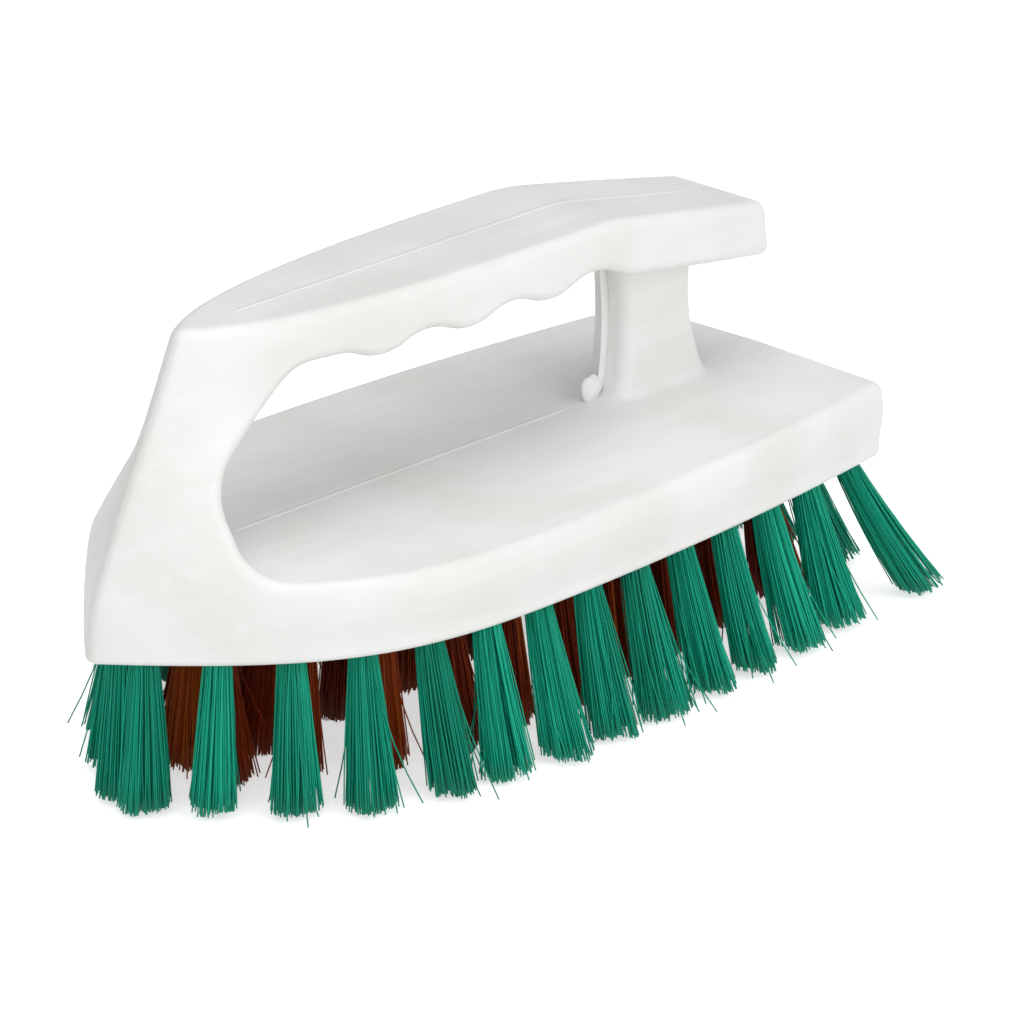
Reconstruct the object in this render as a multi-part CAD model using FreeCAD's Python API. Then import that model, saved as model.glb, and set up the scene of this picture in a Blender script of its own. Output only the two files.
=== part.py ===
import FreeCAD, Part
import math
import os
from FreeCAD import Vector

# Iron-handled scrub brush: one moulded body, bristle tufts stapled into its underside, and the staples.
# Millimetres. While it is modelled, x runs back from the nose tip and z up from the block's underside.
# place() then stands the brush on its bristle tips, centred over the origin, with the nose towards -X.

# Block: boat-shaped in plan, with a pointed nose and a square rear end
block_width = 69.8
block_widest_at = 67.5
block_rear_width = 56.8
block_side_height = 12.4
block_ridge_rise = 0.7
nose_angle = 101.5
nose_pull = 38.0
shoulder_pull = 31.0
rear_corner_round = 3.0
bottom_round = 1.0

# Leg: the nose carried up to the handle, leaning back, while its flanks draw in
nose_upright = 6.5
nose_ease = 6.0
nose_lean = 24.4
leg_depth = 19.6
draw_in_below = 3.0
draw_in_short = 2.6

# Handle: flat on top from the nose to a crest, then falling to a square-cut tail
handle_thickness = 7.9
handle_width = 27.4
handle_widest_at = 89.0
handle_rear_width = 19.0
handle_nose_angle = 98.0
handle_nose_pull = 15.0
handle_shoulder_pull = 30.0
crest_gap = 5.5
crest_round = 40.0
tail_drop = 6.8
tail_thickness = 9.1
tail_under_angle = 9.0
crown_round = 2.3
tail_round = 1.2

# Finger window: the opening under the handle, with a hollow for each finger in its roof
window_height = 28.4
window_bevel_height = 16.0
window_bevel_foot_round = 12.0
window_bevel_head_round = 8.0
window_foot_round = 4.0
window_rim_round = 2.0
finger_count = 4
finger_lead = 24.5
finger_run_in = 7.2
finger_pitch = 17.8
finger_depth = 1.9
finger_rise = 0.1
finger_run_out = 12.0

# Post: the slim pillar under the rear of the handle, waisted in side view
post_gap = 17.3
post_length = 16.0
post_width = 8.8
post_edge_round = 2.6
post_foot_round = 1.4
post_head_round = 1.0
post_waist_up = 12.7
post_front_foot = 1.8
post_rear_foot = 5.4
post_front_head = 1.2
post_rear_head = 1.6
post_sink = 2.0

# Tufts: filaments folded over a staple in a blind hole, then splayed and trimmed flat
bristle_length = 25.7
hole_diameter = 4.6
hole_depth = 9.0
tuft_clearance = 0.05
tuft_tip_diameter = 7.8
tuft_sides = 8
outer_side_count = 14
outer_rear_count = 3
outer_inset = 5.8
outer_front_lean = 2.2
outer_lean = 6.8
rear_fan = 4.0
inner_side_count = 10
inner_rear_count = 1
row_gap = 11.0
inner_front_lean = 1.6
inner_lean = 3.0
centre_count = 6
centre_lean = 2.5
pitch_steps = 10
nose_steps = 3

# Staple: a short flat wire pressed across the hole, from wall to wall
staple_height = 2.0
staple_thickness = 0.5
staple_fold = 1.5

# Levels at which the flank is drawn, and the reach of cutting tools past the body
flank_levels = 9
reach = 30.0
touch = 0.05

# Lengths add up from the leg past the fingers, the post and the tail to the rear of the block
tail_overhang = 10.2
block_overhang = 10.6
window_front = leg_depth
finger_first_at = window_front + finger_lead
finger_last_at = finger_first_at + (finger_count - 1) * finger_pitch
crest_at = finger_last_at + crest_gap
post_front_at = finger_last_at + post_gap
tail_at = post_front_at + post_length + tail_overhang
block_length = tail_at + block_overhang

# Heights add up from the underside of the block through the window and the handle
finger_roof = block_side_height + window_height
handle_top = finger_roof + handle_thickness
tail_top = handle_top - tail_drop
flank_start = block_side_height - draw_in_below
flank_end = finger_roof - draw_in_short


def blend(first, last, share):
    """A value that goes smoothly from first to last as share goes from 0 to 1."""
    t = min(max(share, 0.0), 1.0)
    return first + (last - first) * t * t * (3 - 2 * t)


def bezier(points):
    curve = Part.BezierCurve()
    curve.setPoles(points)
    return curve.toShape()


def line(start, end):
    return Part.LineSegment(start, end).toShape()


def mirrored(points):
    """The same points across the mid plane, in the opposite order."""
    return [Vector(p.x, -p.y, p.z) for p in reversed(points)]


def upright(x, z):
    """A point on the mid plane."""
    return Vector(x, 0, z)


def cosine(full_angle):
    return math.cos(math.radians(full_angle / 2))


def sine(full_angle):
    return math.sin(math.radians(full_angle / 2))


def nose_at(z):
    """How far back the nose's edge is at height z: upright at first, then easing into its lean."""
    above = z - nose_upright
    if abs(above) < nose_ease:
        above = (above + nose_ease) ** 2 / (4 * nose_ease)
    return math.tan(math.radians(nose_lean)) * max(above, 0.0)


def flank_section(z):
    """The outline of block, leg and handle at height z: pointed nose, bowed sides, square rear."""
    share = (z - flank_start) / (flank_end - flank_start)
    tip = nose_at(z)
    handle_pull_x = tip + handle_nose_pull * cosine(handle_nose_angle)
    pull_x = blend(nose_pull * cosine(nose_angle), handle_pull_x, share)
    pull_y = blend(nose_pull * sine(nose_angle), handle_nose_pull * sine(handle_nose_angle), share)
    widest = blend(block_widest_at, handle_widest_at, share)
    half_width = blend(block_width, handle_width, share) / 2
    rear = blend(block_rear_width, handle_rear_width, share) / 2
    back = blend(shoulder_pull, handle_shoulder_pull, share)
    nose = [
        Vector(tip, 0, z),
        Vector(pull_x, pull_y, z),
        Vector(widest - back, half_width, z),
        Vector(widest, half_width, z),
    ]
    side = [
        nose[-1],
        Vector((widest + block_length) / 2, half_width, z),
        Vector(block_length, rear, z),
    ]
    far_edges = [bezier(nose), bezier(side)]
    near_edges = [bezier(mirrored(side)), bezier(mirrored(nose))]
    return Part.Wire(far_edges + [line(side[-1], mirrored(side)[0])] + near_edges)


def flank():
    """Block, leg and handle as one tall form, before the window and the handle's top are cut."""
    step = (handle_top + crown_round) / flank_levels
    return Part.makeLoft([flank_section(step * k) for k in range(flank_levels + 1)], True)


def across(wire):
    """A side-view outline carried across the whole width of the brush."""
    face = Part.Face(wire)
    face.translate(Vector(0, -block_width, 0))
    return face.extrude(Vector(0, 2 * block_width, 0))


def wave(start, end):
    """Two tangent arcs from start to end, level at both."""
    along = (end.x - start.x) / 2
    climb = (end.z - start.z) / 2
    radius = (along * along + climb * climb) / (2 * abs(climb))
    quarter = math.atan(abs(climb) / along)
    step = upright(radius * math.sin(quarter), math.copysign(radius * (1 - math.cos(quarter)), climb))
    middle = (start + end) / 2
    return [Part.Arc(start, start + step, middle).toShape(), Part.Arc(middle, end - step, end).toShape()]


def finger_hollows():
    """The top of each hollow, from front to rear, rising a little."""
    order = range(finger_count)
    return [upright(finger_first_at + k * finger_pitch, finger_roof + k * finger_rise) for k in order]


def scallops():
    """The finger roof from the first hollow to the last, down over a crest between each two."""
    edges = []
    hollows = finger_hollows()
    for hollow, following in zip(hollows, hollows[1:]):
        crest = upright((hollow.x + following.x) / 2, hollow.z - finger_depth)
        edges += wave(hollow, crest) + wave(crest, following)
    return edges


def rounded(before, corner, after, radius):
    """The arc that rounds a corner of an outline, with the points where it starts and ends."""
    first = (before - corner).normalize()
    second = (after - corner).normalize()
    half = first.getAngle(second) / 2
    start = corner + first * (radius / math.tan(half))
    end = corner + second * (radius / math.tan(half))
    middle = corner + (first + second).normalize() * (radius / math.sin(half) - radius)
    return start, Part.Arc(start, middle, end).toShape(), end


def tail_underside(x):
    """A point on the straight underside of the handle's tail."""
    rise = math.tan(math.radians(tail_under_angle)) * (tail_at - x)
    return upright(x, tail_top - tail_thickness + rise)


def window():
    """The space under the handle: up the leg, over a bevelled corner, past the hollows and the tail."""
    first = finger_hollows()[0]
    last = finger_hollows()[-1]
    foot = upright(window_front, 0)
    bevel_foot = upright(window_front, finger_roof - window_bevel_height)
    bevel_head = upright(first.x - finger_run_in, finger_roof)
    foot_start, foot_arc, foot_end = rounded(foot, bevel_foot, bevel_head, window_bevel_foot_round)
    head_start, head_arc, head_end = rounded(bevel_foot, bevel_head, first, window_bevel_head_round)
    leave = tail_underside(last.x + finger_run_out)
    behind = tail_underside(block_length + reach)
    fall = (behind - leave).normalize()
    ease = finger_run_out / 2
    floor_rear = upright(behind.x, 0)
    outline = Part.Wire([
        line(foot, foot_start),
        foot_arc,
        line(foot_end, head_start),
        head_arc,
        line(head_end, first),
        *scallops(),
        bezier([last, last + upright(ease, 0), leave - fall * ease, leave]),
        line(leave, behind),
        line(behind, floor_rear),
        line(floor_rear, foot),
    ])
    return across(outline).cut(block_roof())


def block_roof():
    """Everything below the block's top, which falls from a ridge on the mid plane to both sides."""
    edge = block_side_height - block_ridge_rise
    ends = [(-block_width, -reach), (block_width, -reach), (block_width, edge)]
    ends += [(0, block_side_height + block_ridge_rise), (-block_width, edge), (-block_width, -reach)]
    outline = Part.makePolygon([Vector(-reach, y, z) for y, z in ends])
    return Part.Face(outline).extrude(Vector(block_length + 3 * reach, 0, 0))


def above_handle():
    """The space over the handle: flat to the crest, down to the tail, then behind the tail."""
    slope = math.atan2(handle_top - tail_top, tail_at - crest_at)
    start = crest_at - crest_round * math.tan(slope / 2)

    def on_crest(angle):
        fall = crest_round * (1 - math.cos(angle))
        return upright(start + crest_round * math.sin(angle), handle_top - fall)

    front = upright(-reach, handle_top)
    tail = upright(tail_at, tail_top)
    tail_foot = upright(tail_at, (tail_top - tail_thickness + block_side_height) / 2)
    behind = upright(block_length + reach, tail_foot.z)
    above = handle_top + reach
    outline = Part.Wire([
        line(front, on_crest(0)),
        Part.Arc(on_crest(0), on_crest(slope / 2), on_crest(slope)).toShape(),
        line(on_crest(slope), tail),
        line(tail, tail_foot),
        line(tail_foot, behind),
        line(behind, upright(behind.x, above)),
        line(upright(behind.x, above), upright(-reach, above)),
        line(upright(-reach, above), front),
    ])
    return across(outline)


def rim(faces):
    """The edges that bound a group of faces, without the ones that two of them share."""
    found = []
    for face in faces:
        for edge in face.Edges:
            twin = [e for e in found if e.isSame(edge)]
            if twin:
                found.remove(twin[0])
            else:
                found.append(edge)
    return found


def normal_of(face):
    u_low, u_high, v_low, v_high = face.ParameterRange
    return face.normalAt((u_low + u_high) / 2, (v_low + v_high) / 2)


def at_tail(item):
    box = item.BoundBox
    return box.XLength < touch and abs(box.XMin - tail_at) < touch


def leading_edge(body):
    """The sharp edge up the front of the leg, where its two flanks meet."""
    on_middle = [e for e in body.Edges if e.BoundBox.YLength < touch]
    return [e for e in on_middle if e.BoundBox.ZLength > flank_end and e.BoundBox.XMin < window_front / 2]


def is_handle_top(face):
    return normal_of(face).z > 0.9 and face.BoundBox.ZMin > flank_end


def handle_top_rim(body):
    return [e for e in rim([f for f in body.Faces if is_handle_top(f)]) if not at_tail(e)]


def window_rim(body):
    def in_window(face):
        box = face.BoundBox
        high = is_handle_top(face) or box.ZMax > handle_top - touch
        behind = box.XMin > block_length - rear_corner_round or at_tail(face)
        before = box.XMax < window_front - touch
        return abs(normal_of(face).y) < 0.2 and box.ZMax > touch and not (high or behind or before)

    return [e for e in rim([f for f in body.Faces if in_window(f)]) if not at_tail(e)]


def grip_and_block():
    """The body without its post: flank, window and handle top, with every edge rounded."""
    body = flank().cut(window()).cut(above_handle())
    rear = [e for e in body.Edges if e.BoundBox.XMin > block_length - touch]
    body = body.makeFillet(rear_corner_round, [e for e in rear if e.BoundBox.ZLength > flank_start])
    inside = [e for e in body.Edges if abs(e.BoundBox.XMin - window_front) + e.BoundBox.XLength < touch]
    low = block_side_height + window_foot_round
    body = body.makeFillet(window_foot_round, [e for e in inside if e.BoundBox.ZMax < low])
    body = body.makeFillet(crown_round, leading_edge(body) + handle_top_rim(body))
    body = body.makeFillet(window_rim_round, window_rim(body))
    body = body.makeFillet(tail_round, rim([f for f in body.Faces if at_tail(f)]))
    return body.makeFillet(bottom_round, [e for e in body.Edges if e.BoundBox.ZMax < touch])


def post():
    """A pillar that is waisted in side view, spreading to its foot and head, with its four edges rounded."""
    foot = block_side_height + block_ridge_rise
    head = tail_underside(post_front_at).z
    waist = foot + post_waist_up
    front = post_front_at
    rear = post_front_at + post_length
    front_foot = upright(front - post_front_foot, foot - post_sink)
    front_head = upright(front - post_front_head, head + post_sink)
    rear_foot = upright(rear + post_rear_foot, foot - post_sink)
    rear_head = upright(rear + post_rear_head, head + post_sink)
    outline = Part.Wire([
        Part.Arc(front_foot, upright(front, waist), front_head).toShape(),
        line(front_head, rear_head),
        Part.Arc(rear_head, upright(rear, waist), rear_foot).toShape(),
        line(rear_foot, front_foot),
    ])
    side = Part.Face(outline)
    side.translate(Vector(0, -post_width / 2, 0))
    pillar = side.extrude(Vector(0, post_width, 0))
    return pillar.makeFillet(post_edge_round, [e for e in pillar.Edges if e.BoundBox.ZLength > post_width])


def post_seams(body):
    """The edges where the post meets the block's top, and those where it meets the handle's underside."""
    front = post_front_at - post_front_foot - touch
    rear = post_front_at + post_length + post_rear_foot + touch
    waist = block_side_height + block_ridge_rise + post_waist_up

    def around_post(box):
        beside = max(-box.YMin, box.YMax) < post_width / 2 + touch
        return beside and front < box.XMin and box.XMax < rear and box.ZLength < post_waist_up / 2

    seams = [e for e in body.Edges if around_post(e.BoundBox)]
    return [e for e in seams if e.BoundBox.ZMax < waist], [e for e in seams if e.BoundBox.ZMin > waist]


def inset_side(distance):
    """The far side of the block's outline, drawn in by a distance, as a wire from nose to rear."""
    outline = flank_section(0).makeOffset2D(-distance, join=2)
    edges = [e for e in outline.Edges if e.BoundBox.YMin > -touch and e.BoundBox.XLength > touch]
    return Part.Wire(Part.sortEdges(edges)[0])


def row(distance, side_count, rear_count, front_lean, lean):
    """Holes along both sides and the rear, a distance inside the block's edge, each with its lean outwards.

    Each side has even pitches from a short first step beside the nose to a tuft in the rear corner. The lean
    grows from the nose to the block's widest place, and past that the tufts also fan to the rear.
    """
    steps = inset_side(distance).discretize(Number=pitch_steps * (side_count - 1) + nose_steps + 1)
    steps.sort(key=lambda point: point.x)
    found = []
    for k in range(nose_steps, len(steps), pitch_steps):
        along = steps[min(k + 1, len(steps) - 1)] - steps[k - 1]
        spread = blend(front_lean, lean, steps[k].x / block_widest_at)
        outward = Vector(-along.y, along.x, 0).normalize() * spread
        rearward = max(steps[k].x - block_widest_at, 0.0) / (block_length - block_widest_at)
        found.append((steps[k], outward + Vector(rear_fan * rearward ** 2, 0, 0)))
    corner, outward = found.pop()
    found.append((corner, outward + Vector(lean, 0, 0)))
    for k in range(rear_count):
        across_rear = corner.y * (1 - 2 * (k + 1) / (rear_count + 1))
        found.append((Vector(corner.x, across_rear, 0), Vector(lean + rear_fan, 0, 0)))
    sides = found[:side_count]
    near = [(Vector(p.x, -p.y, 0), Vector(out.x, -out.y, 0)) for p, out in reversed(sides)]
    return found + near


def tuft_places():
    """Every tuft's name, hole and lean: a green outer ring, a brown inner ring and a brown centre row."""
    tufts = []
    inner_inset = outer_inset + row_gap
    outer = row(outer_inset, outer_side_count, outer_rear_count, outer_front_lean, outer_lean)
    inner = row(inner_inset, inner_side_count, inner_rear_count, inner_front_lean, inner_lean)
    for k, (hole, lean) in enumerate(outer):
        tufts.append((f"tuft_outer_{k + 1:02d}", hole, lean))
    for k, (hole, lean) in enumerate(inner):
        tufts.append((f"tuft_inner_{k + 1:02d}", hole, lean))
    length = inset_side(inner_inset).BoundBox
    for k in range(centre_count):
        share = (k + 1) / (centre_count + 1)
        hole = Vector(length.XMin + length.XLength * share, 0, 0)
        tufts.append((f"tuft_centre_{k + 1:02d}", hole, Vector(centre_lean * (2 * share - 1), 0, 0)))
    return tufts


def staple(place):
    """A flat wire set across a hole, short of its end by the thickness of the folded filaments."""
    width = hole_diameter - 2 * tuft_clearance
    corner = place + Vector(-width / 2, -staple_thickness / 2, hole_depth - staple_fold - staple_height)
    return Part.makeBox(width, staple_thickness, staple_height, corner)


def bundle_ring(centre, diameter):
    """The corners of a bundle's section, turned so that two of its sides face along x."""
    reach_out = diameter / 2
    turns = [2 * math.pi * (k + 0.5) / tuft_sides for k in range(tuft_sides)]
    return [centre + Vector(reach_out * math.cos(a), reach_out * math.sin(a), 0) for a in turns]


def tuft(place, lean):
    """Filaments held straight in the hole, then leaning and spreading to the trimmed end."""
    root = hole_diameter - 2 * tuft_clearance
    rings = [
        bundle_ring(place + Vector(0, 0, hole_depth), root),
        bundle_ring(place, root),
        bundle_ring(place + lean - Vector(0, 0, bristle_length), tuft_tip_diameter),
    ]
    loops = [rings[0], rings[-1]]
    for upper, lower in zip(rings, rings[1:]):
        loops += [[upper[k - 1], upper[k], lower[k], lower[k - 1]] for k in range(tuft_sides)]
    faces = [Part.Face(Part.makePolygon(loop + loop[:1])) for loop in loops]
    return Part.Solid(Part.Shell(faces)).cut(staple(place))


def brush_body(tufts):
    """The whole moulding, with the post blended into its block and handle, drilled for the tufts."""
    body = grip_and_block().fuse(post())
    foot, head = post_seams(body)
    body = body.makeFillet(post_head_round, head)
    foot, head = post_seams(body)
    body = body.makeFillet(post_foot_round, foot)
    holes = [Part.makeCylinder(hole_diameter / 2, hole_depth, place) for name, place, lean in tufts]
    return body.cut(holes)


def place(shape, tufts):
    """Stand the brush on its tips, with the middle of its overall length over the origin."""
    tips = [hole.x + lean.x for name, hole, lean in tufts]
    tip_reach = tuft_tip_diameter / 2 * math.cos(math.pi / tuft_sides)
    rounded_nose = crown_round / sine(nose_angle) - crown_round
    front = min(rounded_nose, min(tips) - tip_reach)
    rear = max(block_length, max(tips) + tip_reach)
    stood = shape.copy()
    stood.translate(Vector(-(front + rear) / 2, 0, bristle_length))
    return stood


os.makedirs("parts", exist_ok=True)
tufts = tuft_places()
pieces = {"brush_body": brush_body(tufts)}
pieces["anchor_staples"] = Part.makeCompound([staple(hole) for name, hole, lean in tufts])
for name, hole, lean in tufts:
    pieces[name] = tuft(hole, lean)
for name, shape in pieces.items():
    stood = place(shape, tufts)
    stood.exportStep(f"parts/{name}.step")
    box = stood.BoundBox
    print(name, "valid", stood.isValid(), "solids", len(stood.Solids), "volume", round(stood.Volume, 1))
    print("  x", round(box.XMin, 2), round(box.XMax, 2), "y", round(box.YMin, 2), round(box.YMax, 2),
          "z", round(box.ZMin, 2), round(box.ZMax, 2))
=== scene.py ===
import math

import bpy
import numpy as np
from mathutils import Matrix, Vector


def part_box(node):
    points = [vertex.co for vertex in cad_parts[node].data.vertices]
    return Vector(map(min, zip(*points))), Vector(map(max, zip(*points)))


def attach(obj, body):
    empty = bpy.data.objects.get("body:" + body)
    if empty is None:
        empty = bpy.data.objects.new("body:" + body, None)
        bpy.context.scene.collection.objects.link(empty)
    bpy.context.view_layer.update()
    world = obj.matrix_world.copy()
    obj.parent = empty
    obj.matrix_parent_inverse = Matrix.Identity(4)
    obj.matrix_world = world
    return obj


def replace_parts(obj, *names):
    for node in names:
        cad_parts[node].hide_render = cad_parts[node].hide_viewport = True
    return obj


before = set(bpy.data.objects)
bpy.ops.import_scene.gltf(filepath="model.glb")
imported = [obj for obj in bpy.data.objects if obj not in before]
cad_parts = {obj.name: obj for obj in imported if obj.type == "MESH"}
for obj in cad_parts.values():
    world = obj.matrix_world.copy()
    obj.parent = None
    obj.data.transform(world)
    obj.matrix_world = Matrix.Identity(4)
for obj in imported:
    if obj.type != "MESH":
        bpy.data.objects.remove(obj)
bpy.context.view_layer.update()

mm = 0.001

# Moulded body
# Block, nose leg, grip and post are one injection moulding in off-white polypropylene, made in a mould
# of two halves that meet on the mid plane. The solid keeps its shape and gets the plastic's finish.


def linear(code):
    """An sRGB hex colour as linear red, green, blue and an alpha of 1."""
    srgb = np.array([int(code[k:k + 2], 16) for k in (1, 3, 5)]) / 255
    low = srgb / 12.92
    high = ((srgb + 0.055) / 1.055) ** 2.4
    return [*np.where(srgb <= 0.04045, low, high).tolist(), 1.0]


def add_node(tree, kind, settings, inputs):
    """One node with its own settings, and for each input a value or the socket that feeds it."""
    node = tree.nodes.new(kind)
    for name, value in settings.items():
        setattr(node, name, value)
    for name, value in inputs.items():
        if isinstance(value, bpy.types.NodeSocket):
            tree.links.new(value, node.inputs[name])
        else:
            node.inputs[name].default_value = value
    return node


def new_material(name):
    """An empty material and its node tree."""
    material = bpy.data.materials.new(name)
    material.use_nodes = True
    material.node_tree.nodes.clear()
    return material, material.node_tree


def surface(tree, inputs):
    """A principled surface with these inputs, joined to the material's output."""
    shader = add_node(tree, "ShaderNodeBsdfPrincipled", {}, inputs)
    add_node(tree, "ShaderNodeOutputMaterial", {}, {"Surface": shader.outputs[0]})


def noise(tree, place, scale, detail=2.0, distortion=0.0):
    """A cloudy value around a half, which changes over a length of 1 / scale."""
    return add_node(tree, "ShaderNodeTexNoise", {}, {
        "Vector": place, "Scale": scale, "Detail": detail, "Distortion": distortion,
    }).outputs[0]


def stretched(tree, place, lengths, turn=(0.0, 0.0, 0.0)):
    """Places turned, then divided by a length for each axis, which draws a noise of scale 1 out to them."""
    return add_node(tree, "ShaderNodeMapping", {}, {
        "Vector": place, "Rotation": turn, "Scale": [1 / length for length in lengths],
    }).outputs[0]


def ramp(tree, value, span, ends=(0.0, 1.0), soft=False):
    """A value that goes from one end to the other while its input crosses the span, and stays there."""
    curve = "SMOOTHSTEP" if soft else "LINEAR"
    return add_node(tree, "ShaderNodeMapRange", {"interpolation_type": curve}, {
        "Value": value, "From Min": span[0], "From Max": span[1], "To Min": ends[0], "To Max": ends[1],
    }).outputs[0]


def blend(tree, share, first, second):
    """A colour that is the first where the share is 0 and the second where it is 1."""
    return add_node(tree, "ShaderNodeMix", {"data_type": "RGBA"}, {0: share, 6: first, 7: second}).outputs[2]


def compute(tree, operation, *values):
    """The result of one operation on values or sockets."""
    return add_node(tree, "ShaderNodeMath", {"operation": operation}, dict(enumerate(values))).outputs[0]


def moulded_polypropylene():
    """Satin off-white plastic: cloudy and streaked where the melt flowed, with a fine mould texture.

    The colour goes from base to cloudy by one noise, then to streaky by a noise drawn out along the flow,
    which sets the gloss too. The bump is the sum of the parting line, which fades beside the mid plane, and
    the mould's texture.
    """
    material, tree = new_material("moulded_polypropylene")
    place = add_node(tree, "ShaderNodeTexCoord", {}, {}).outputs["Object"]
    base, cloudy, streaky = linear("#F0F0EF"), linear("#E9E8E4"), linear("#F4F4F3")
    cloud_size = 22 * mm
    cloud_span = (0.35, 0.68)
    streak_length, streak_width = 45 * mm, 3.5 * mm
    streak_turn = (0.0, math.radians(8), math.radians(12))
    streak_span, streak_most = (0.45, 0.75), 0.45
    gloss_span, roughness = (0.3, 0.7), (0.36, 0.48)
    texture_size, texture_share = 1.6 * mm, 0.15
    seam_half_width = 0.22 * mm
    bump_height, bump_strength = 0.08 * mm, 0.35
    refraction = 1.49
    scatter_share, scatter_depth = 0.12, 1.2 * mm
    scatter_by_colour = (1.0, 0.95, 0.85)
    cloud = noise(tree, place, 1 / cloud_size, detail=3.0)
    flow = stretched(tree, place, (streak_length, streak_width, streak_width), streak_turn)
    streak = noise(tree, flow, 1.0, detail=4.0, distortion=0.4)
    clouded = blend(tree, ramp(tree, cloud, cloud_span, soft=True), base, cloudy)
    streak_share = ramp(tree, streak, streak_span, (0.0, streak_most), soft=True)
    across = add_node(tree, "ShaderNodeSeparateXYZ", {}, {"Vector": place}).outputs[1]
    off_middle = compute(tree, "ABSOLUTE", across)
    seam = ramp(tree, off_middle, (0.0, seam_half_width), (1.0, 0.0), soft=True)
    relief = compute(tree, "MULTIPLY_ADD", noise(tree, place, 1 / texture_size), texture_share, seam)
    bump = add_node(tree, "ShaderNodeBump", {}, {
        "Strength": bump_strength, "Distance": bump_height, "Height": relief,
    })
    surface(tree, {
        "Base Color": blend(tree, streak_share, clouded, streaky),
        "Roughness": ramp(tree, streak, gloss_span, roughness),
        "Normal": bump.outputs[0],
        "IOR": refraction,
        "Subsurface Weight": scatter_share,
        "Subsurface Radius": scatter_by_colour,
        "Subsurface Scale": scatter_depth,
    })
    return material


def dress(node_name, material):
    """A CAD node that keeps its shape, in its own material."""
    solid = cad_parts[node_name]
    solid.data.materials.clear()
    solid.data.materials.append(material)
    return solid


body_low, body_high = (np.array(corner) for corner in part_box("brush_body"))
body = dress("brush_body", moulded_polypropylene())
# The faces are welded to each other, then the large ones lead the shading, so it runs smoothly past edges.
body.data.shade_smooth()
weld = body.modifiers.new("weld", "WELD")
weld.merge_threshold = 0.002 * mm
weighted = body.modifiers.new("weighted_normals", "WEIGHTED_NORMAL")
weighted.weight = 80
weighted.thresh = 0.02

# Parting flash
# Thin beads of plastic where the halves of the mould met on the mid plane: along the grip's top, along the
# block's ridge and up the front of the post, with the nib of a runner at its foot. All are left as moulded.


def seam_bead(x, z, height, half_width):
    """A bead on a line of the mid plane, as rings of points.

    Each ring is an ellipse from the near side over the bead's top to the far side and back under the
    surface, so half of it is sunk in the plastic. It swells up at one end and dies away at the other.
    """
    sides = 10
    end_steepness, end_size = 12, 0.05
    ahead = np.stack([np.gradient(x), np.gradient(z)], axis=-1)
    ahead = ahead / np.linalg.norm(ahead, axis=-1, keepdims=True)
    share = np.linspace(0, 1, len(x))
    swell = np.clip(end_steepness * np.minimum(share, 1 - share), end_size, 1)[:, None]
    turn = 2 * math.pi * np.arange(sides) / sides
    out = height * swell * np.sin(turn)
    across = -half_width * swell * np.cos(turn)
    return np.stack([x[:, None] - ahead[:, 1:] * out, across, z[:, None] + ahead[:, :1] * out], axis=-1)


def torn_nib(middle, radii):
    """An ellipsoid as rings of points, from pole to pole, whose radius is stirred by two soft waves."""
    rings, sides = 18, 24
    pole_gap = 0.02
    long_wave, short_wave = 0.07, 0.05
    north = np.linspace(pole_gap, math.pi - pole_gap, rings)[:, None]
    east = np.linspace(0, 2 * math.pi, sides, endpoint=False)[None]
    swell = 1 + long_wave * np.sin(2 * east + 3 * north) + short_wave * np.cos(3 * east - 2 * north)
    level = np.sin(north)
    ball = np.stack([level * np.cos(east), level * np.sin(east), np.cos(north) + 0 * east], axis=-1)
    return middle + radii * swell[..., None] * ball


def tubes_to_mesh(name, grid):
    """One mesh of tubes, each closed by a cap on both ends, from an array of tube, ring, side and place."""
    tubes, rings, sides, _ = grid.shape
    index = np.arange(tubes * rings * sides).reshape(tubes, rings, sides)
    beside = np.roll(index, -1, axis=2)
    walls = np.stack([index[:, 1:], beside[:, 1:], beside[:, :-1], index[:, :-1]], axis=-1).reshape(-1, 4)
    caps = np.concatenate([index[:, 0], index[:, -1, ::-1]])
    mesh = bpy.data.meshes.new(name)
    mesh.from_pydata(grid.reshape(-1, 3).tolist(), [], walls.tolist() + caps.tolist())
    mesh.shade_smooth()
    return mesh


def add_piece(name, mesh, material):
    """A mesh in its material, as a piece of the part."""
    mesh.materials.append(material)
    piece = bpy.data.objects.new(name, mesh)
    bpy.context.scene.collection.objects.link(piece)
    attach(piece, "root")
    return piece


plastic = body.data.materials[0]
sunk = 0.15 * mm
rear = body_high[0]
block_bottom = body_low[2]
grip_front, grip_rear = rear - 127 * mm, rear - 11.8 * mm
crest, crest_radius = rear - 48.6 * mm, 40 * mm
tail_drop, tail_length = 6.8 * mm, 38.0 * mm
tail_slope = math.atan(tail_drop / tail_length)
round_length = crest_radius * math.sin(tail_slope)
grip_x = np.linspace(grip_front, grip_rear, 120)
past_round = grip_x - crest + crest_radius * math.tan(tail_slope / 2)
round_drop = crest_radius - np.sqrt(crest_radius ** 2 - np.clip(past_round, 0, round_length) ** 2)
straight_drop = np.clip(past_round - round_length, 0, None) * math.tan(tail_slope)
grip_z = body_high[2] - sunk - round_drop - straight_drop
ridge_front, ridge_rear = rear - 127 * mm, rear - 41 * mm
ridge_height = 13.1 * mm
ridge_x = np.linspace(ridge_front, ridge_rear, 60)
ridge_z = block_bottom + ridge_height - sunk + 0 * ridge_x
post_front = rear - 37.5 * mm
post_foot = block_bottom + 13.4 * mm
post_waist = block_bottom + 25.8 * mm
post_head = block_bottom + 36.2 * mm
flare, flare_height = 1.8 * mm, 14.7 * mm
post_z = np.linspace(post_foot, post_head, 40)
post_x = post_front - flare * ((post_z - post_waist) / flare_height) ** 2
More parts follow.
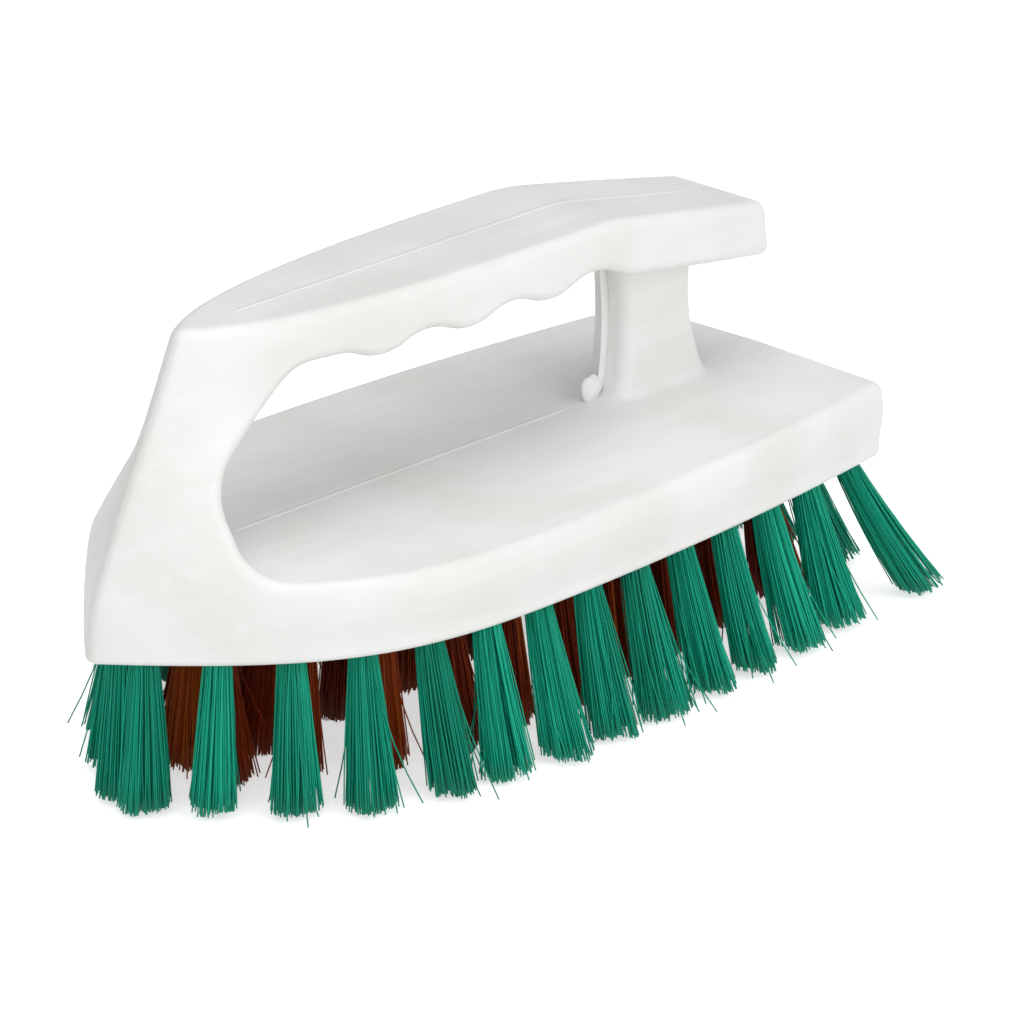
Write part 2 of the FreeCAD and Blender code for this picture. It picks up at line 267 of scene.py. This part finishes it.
for name, x, z, height, half_width in (
    ("grip_flash", grip_x, grip_z, 0.28 * mm, 0.6 * mm),
    ("block_flash", ridge_x, ridge_z, 0.26 * mm, 0.6 * mm),
    ("post_flash", post_x, post_z, 0.95 * mm, 0.26 * mm),
):
    bead = seam_bead(x, z, height, half_width)
    add_piece(name, tubes_to_mesh(name, bead[None]), plastic)
nib_middle = np.array([rear - 40.8 * mm, 0.0, block_bottom + 14.9 * mm])
nib_radii = np.array([2.1, 1.1, 2.2]) * mm
nib = torn_nib(nib_middle, nib_radii)
add_piece("runner_nib", tubes_to_mesh("runner_nib", nib[None]), plastic)

# Anchor staples
# Short flat steel wires pressed across each hole, which hold the folded filaments. They lie deep in the
# holes, so their drawn finish only shows where the brush is cut open.


def drawn_steel():
    """Drawn wire: bright metal with fine lines along its length, which set its tone and its gloss."""
    material, tree = new_material("drawn_steel_wire")
    place = add_node(tree, "ShaderNodeTexCoord", {}, {}).outputs["Object"]
    dark, bright = linear("#A9AAAD"), linear("#D3D4D6")
    line_length, line_width = 2.0 * mm, 0.08 * mm
    roughness = (0.22, 0.42)
    lines = noise(tree, stretched(tree, place, (line_length, line_width, line_width)), 1.0)
    surface(tree, {
        "Base Color": blend(tree, lines, dark, bright),
        "Roughness": ramp(tree, lines, (0.0, 1.0), roughness),
        "Metallic": 1.0,
    })
    return material


dress("anchor_staples", drawn_steel())

# Brown tufts
# The inner ring and the centre row: bundles of red-brown polypropylene filaments, folded in half over
# their staples, then trimmed to one length. Each filament is a round thread of its own.


def filament_plastic(name, deep, middle, light, worn):
    """Extruded filament: every thread has its own tone, a soft gloss and a paler, dusty cut end.

    The thread's tone goes from deep over middle to light. Near the floor, flecks of the worn colour are laid
    over it, the more the lower they are.
    """
    material, tree = new_material(name)
    place = add_node(tree, "ShaderNodeTexCoord", {}, {}).outputs["Object"]
    middle_tone = 0.55
    wear_height, wear_most = 5 * mm, 0.5
    fleck_length, fleck_width = 6 * mm, 0.7 * mm
    roughness = (0.32, 0.55)
    refraction, shine = 1.49, 0.25
    tone = add_node(tree, "ShaderNodeAttribute", {"attribute_name": "filament_tone"}, {}).outputs["Fac"]
    fleck = noise(tree, stretched(tree, place, (fleck_width, fleck_width, fleck_length)), 1.0)
    dark = blend(tree, ramp(tree, tone, (0.0, middle_tone)), linear(deep), linear(middle))
    bright = blend(tree, ramp(tree, tone, (middle_tone, 1.0)), dark, linear(light))
    height = add_node(tree, "ShaderNodeSeparateXYZ", {}, {"Vector": place}).outputs[2]
    wear = ramp(tree, height, (0.0, wear_height), (wear_most, 0.0), soft=True)
    surface(tree, {
        "Base Color": blend(tree, compute(tree, "MULTIPLY", wear, fleck), bright, linear(worn)),
        "Roughness": ramp(tree, fleck, (0.0, 1.0), roughness),
        "IOR": refraction,
        "Specular IOR Level": shine,
    })
    return material


def tuft_ends(node_name):
    """The middle of a tuft's closed end in its hole and of its trimmed end, read from its solid."""
    level = 0.01 * mm
    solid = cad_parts[node_name].data
    corners = np.empty(len(solid.vertices) * 3)
    solid.vertices.foreach_get("co", corners)
    corners = corners.reshape(-1, 3)
    heights = corners[:, 2]
    root = corners[heights > heights.max() - level].mean(axis=0)
    tip = corners[heights < heights.min() + level].mean(axis=0)
    return root, tip


def filaments(root, tip, mouth, draw):
    """A tuft's threads, as an array of thread, ring, side and place, and the tone of each thread.

    The threads start on a sunflower pattern across the hole. Each runs straight down the hole to its mouth,
    then along the tuft's lean. Its distance from the tuft's middle grows to the spread at the trimmed end.
    Neighbours gather into locks that share a push, a length and a tone, every thread bows a little by
    itself, and a few stray threads swing wide. The splayed threads at the rim end higher than those in the
    middle, and each tuft has its own sway and spread. A tone is the sum of shares of tuft, lock and thread.
    """
    count, sides = 260, 4
    thickness = 0.30 * mm
    hole_radius = 2.1 * mm
    root_cover = 1.5 * mm
    sunflower, unrest = math.radians(137.508), 0.12
    lock_count, lock_push = 7, 0.45 * mm
    thread_push = 0.28 * mm
    stray_share, stray_swing = 0.05, 2.4 * mm
    lock_cut, thread_cut, rim_cut = 0.9 * mm, 0.5 * mm, 0.9 * mm
    tuft_tone, lock_tone, thread_tone = 0.4, 0.35, 0.25
    bow_size, sway_size = 0.6 * mm, 0.5 * mm
    straight, curved = 0.85, 0.15
    spread = draw.uniform(1.65, 2.1)
    order = np.arange(count) + 0.5
    turn = order * sunflower + draw.normal(0, unrest, count)
    distance = hole_radius * np.sqrt(order / count)
    start = np.stack([distance * np.cos(turn), distance * np.sin(turn)], axis=-1)
    centres = draw.uniform(-hole_radius, hole_radius, (lock_count, 2))
    lock = np.linalg.norm(start[:, None] - centres, axis=-1).argmin(axis=1)
    fan = start * spread + draw.normal(0, lock_push, (lock_count, 2))[lock]
    fan = fan + draw.normal(0, thread_push, (count, 2))
    stray = (draw.random(count) < stray_share)[:, None] * draw.normal(0, stray_swing, (count, 2))
    cut = draw.uniform(0, lock_cut, lock_count)[lock] + np.abs(draw.normal(0, thread_cut, count))
    cut = cut + rim_cut * order / count
    tones = tuft_tone * draw.random() + lock_tone * draw.random(lock_count)[lock]
    tones = tones + thread_tone * draw.random(count)
    bow = draw.normal(0, bow_size, (count, 2))
    sway = draw.normal(0, sway_size, 2)
    down = np.array([0.0, 0.2, 0.4, 0.6, 0.8, 1.0])
    share = down[None, :, None]
    lean = ((tip - root)[:2] + sway) * (straight * share + curved * share ** 2)
    flat = start[:, None] + (fan - start)[:, None] * share + stray[:, None] * share ** 2
    flat = flat + bow[:, None] * share * (1 - share) + lean
    fall = mouth + (cut[:, None] - mouth) * down[None]
    inside = np.concatenate([start, np.full((count, 1), root[2] - root_cover)], axis=1)[:, None]
    line = np.concatenate([inside, np.concatenate([flat, fall[..., None]], axis=-1)], axis=1)
    line[..., :2] += root[:2]
    angle = 2 * math.pi * np.arange(sides) / sides
    ring = thickness / 2 * np.stack([np.cos(angle), np.sin(angle), np.zeros(sides)], axis=-1)
    return line[:, :, None] + ring, tones


def add_tufts(rows, fibre, material, first_seed):
    """A bundle of filaments for each plain solid in these rows, with its tones kept as an attribute."""
    nodes = [name for row in rows for name in sorted(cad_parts) if name.startswith(f"tuft_{row}_")]
    for number, node_name in enumerate(nodes):
        root, tip = tuft_ends(node_name)
        grid, tones = filaments(root, tip, block_bottom, np.random.default_rng(first_seed + number))
        piece_name = node_name.replace("tuft", fibre)
        mesh = tubes_to_mesh(piece_name, grid)
        tone = mesh.attributes.new("filament_tone", "FLOAT", "POINT")
        tone.data.foreach_set("value", np.repeat(tones, grid.shape[1] * grid.shape[2]).astype(np.float32))
        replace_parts(add_piece(piece_name, mesh, material), node_name)


brown = filament_plastic("brown_filament", "#520D00", "#9A3302", "#C8690E", "#A8703C")
add_tufts(("inner", "centre"), "brown_filaments", brown, 500)

# Green tufts
# The outer ring: bundles of green polypropylene filaments, made and stapled in the same way. They stand
# along the block's edge and splay outwards.

green = filament_plastic("green_filament", "#006F57", "#009E7E", "#1AC0A0", "#5DB79E")
add_tufts(("outer",), "green_filaments", green, 3500)

# Studio
# A pale paper floor under three soft lamps, in a white world whose light a dark flag dims at the far left.
# The camera stands at the photograph's angle. The floor glows a little to the camera, so it shows white.

floor_reach = 4.0
floor_glow = 0.6
floor_corners = [(x * floor_reach, y * floor_reach, 0) for x, y in ((-1, -1), (1, -1), (1, 1), (-1, 1))]
floor_mesh = bpy.data.meshes.new("floor")
floor_mesh.from_pydata(floor_corners, [], [(0, 1, 2, 3)])
floor = bpy.data.objects.new("floor", floor_mesh)
bpy.context.scene.collection.objects.link(floor)
paper, tree = new_material("white_paper")
rays = add_node(tree, "ShaderNodeLightPath", {}, {})
seen = compute(tree, "MAXIMUM", rays.outputs["Is Camera Ray"], rays.outputs["Is Glossy Ray"])
surface(tree, {
    "Base Color": linear("#F2F2F0"), "Roughness": 0.9, "Specular IOR Level": 0.1,
    "Emission Color": linear("#FFFFFF"), "Emission Strength": compute(tree, "MULTIPLY", seen, floor_glow),
})
floor_mesh.materials.append(paper)

flag_direction = (-0.77, 0.63, 0.0)
flag_span = (0.1, 0.9)
open_light, flagged_light = 0.5, 0.15
world = bpy.data.worlds.new("studio")
bpy.context.scene.world = world
world.use_nodes = True
tree = world.node_tree
tree.nodes.clear()
rays = add_node(tree, "ShaderNodeLightPath", {}, {})
direction = add_node(tree, "ShaderNodeTexCoord", {}, {}).outputs["Generated"]
to_flag = add_node(tree, "ShaderNodeVectorMath", {"operation": "DOT_PRODUCT"}, {
    0: direction, 1: flag_direction,
})
strength = ramp(tree, to_flag.outputs["Value"], flag_span, (open_light, flagged_light), soft=True)
ambient = add_node(tree, "ShaderNodeBackground", {}, {"Color": linear("#FBFCFF"), "Strength": strength})
backdrop = add_node(tree, "ShaderNodeBackground", {}, {"Color": linear("#FFFFFF"), "Strength": 1.0})
chosen = add_node(tree, "ShaderNodeMixShader", {}, {
    0: rays.outputs["Is Camera Ray"], 1: ambient.outputs[0], 2: backdrop.outputs[0],
})
add_node(tree, "ShaderNodeOutputWorld", {}, {"Surface": chosen.outputs[0]})


def towards(azimuth, elevation):
    """The direction from the object to a place at that azimuth and elevation, in degrees."""
    a = math.radians(azimuth)
    e = math.radians(elevation)
    return np.array([math.sin(a) * math.cos(e), -math.cos(a) * math.cos(e), math.sin(e)])


def stand_at(thing, place, aim):
    """Stands a lamp or camera at a place, looking at aim."""
    back = place - aim
    back = back / np.linalg.norm(back)
    right = np.cross([0, 0, 1], back)
    right = right / np.linalg.norm(right)
    turned = np.eye(4)
    turned[:3, :3] = np.stack([right, np.cross(back, right), back], axis=1)
    turned[:3, 3] = place
    thing.matrix_world = [list(row) for row in turned.T]


aim = np.array([rear - 59.1 * mm, 0.0, block_bottom - 1.33 * mm])
lamp_distance, lamp_size = 0.9, 0.8
for name, azimuth, elevation, power in (
    ("key", -60, 25, 2.2),
    ("fill", 10, 25, 2.05),
    ("top", -45, 84, 2.85),
):
    lamp = bpy.data.lights.new(name, "AREA")
    lamp.shape = "DISK"
    lamp.size = lamp_size
    lamp.energy = power
    lamp_stand = bpy.data.objects.new(name, lamp)
    bpy.context.scene.collection.objects.link(lamp_stand)
    stand_at(lamp_stand, aim + lamp_distance * towards(azimuth, elevation), aim)

camera_distance, camera_azimuth, camera_elevation = 1.0218, -45.86, 21.68
lens = bpy.data.cameras.new("camera")
lens.sensor_width = 36.0
lens.lens = 223.3
lens.clip_start = 0.05
lens.clip_end = 50.0
camera = bpy.data.objects.new("camera", lens)
bpy.context.scene.collection.objects.link(camera)
stand_at(camera, aim + camera_distance * towards(camera_azimuth, camera_elevation), aim)
bpy.context.scene.camera = camera
bpy.context.scene.view_settings.view_transform = "Standard"
